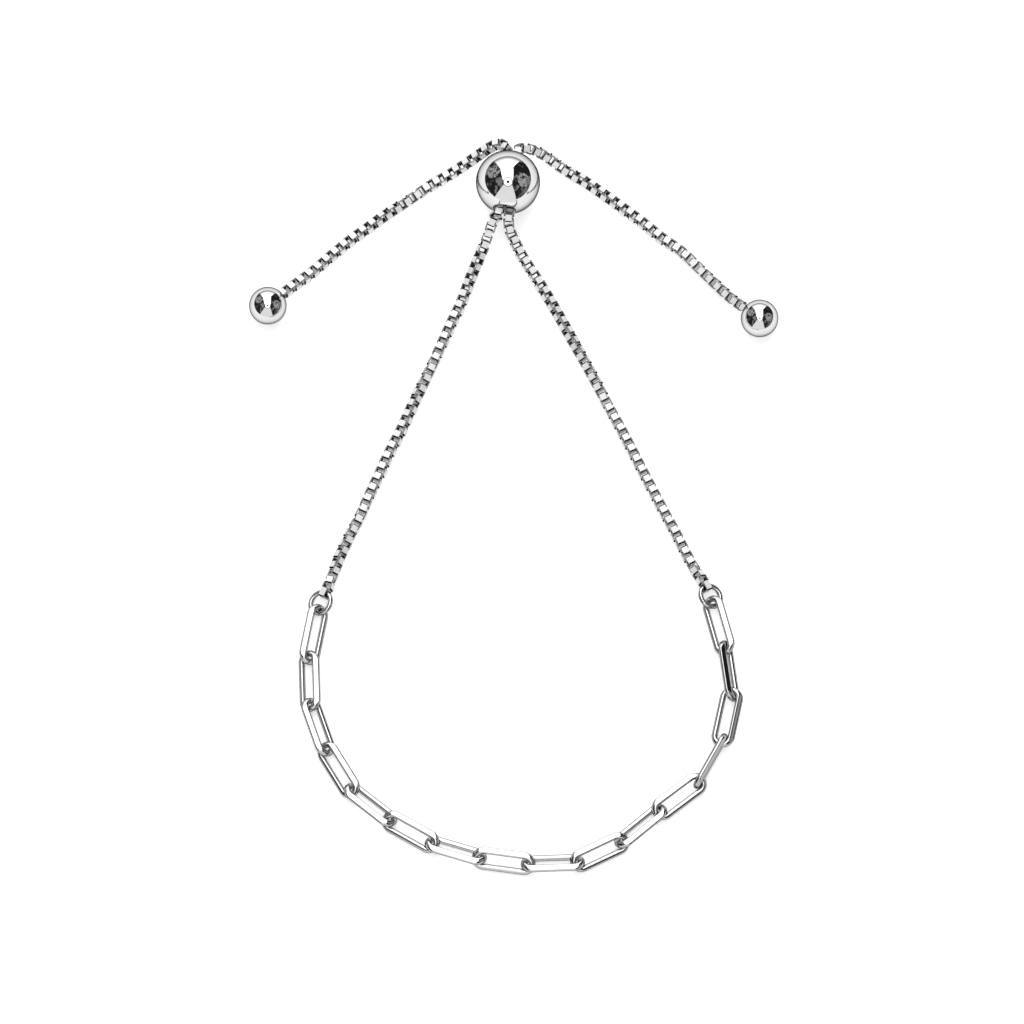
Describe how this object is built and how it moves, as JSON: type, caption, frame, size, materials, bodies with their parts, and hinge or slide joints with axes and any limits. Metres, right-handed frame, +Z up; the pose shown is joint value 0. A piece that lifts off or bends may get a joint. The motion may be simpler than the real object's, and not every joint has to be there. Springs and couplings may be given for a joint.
{
  "type": "bolo slider bracelet",
  "caption": "Adjustable bracelet of paperclip links on fine box chain, which runs through a sliding ball bead and ends in small ball beads.",
  "frame": {"origin": "middle of the footprint of the bracelet, on the surface that it lies on", "axes": "+Z up from that surface, +Y from the paperclip links towards the slider bead, +X to the right"},
  "size_m": [0.0575, 0.0826, 0.007],
  "materials": {
    "silver_beads": "mirror polished silver, seamless hollow balls",
    "silver_wire": "polished silver wire with fine drawing marks",
    "silver_box_chain": "bright silver strip, slightly darker in its gaps"
  },
  "bodies": {
    "root": {"slider_bead": "silver_beads", "end_bead_left": "silver_beads", "end_bead_right": "silver_beads", "jump_ring_left": "silver_wire", "jump_ring_right": "silver_wire", "link_01": "silver_wire", "link_02": "silver_wire", "link_03": "silver_wire", "link_04": "silver_wire", "link_05": "silver_wire", "link_06": "silver_wire", "link_07": "silver_wire", "link_08": "silver_wire", "link_09": "silver_wire", "link_10": "silver_wire", "link_11": "silver_wire", "link_12": "silver_wire", "link_13": "silver_wire", "link_14": "silver_wire", "link_15": "silver_wire", "link_16": "silver_wire", "box_chain_left": "silver_box_chain", "box_chain_right": "silver_box_chain"}
  },
  "joints": []
}
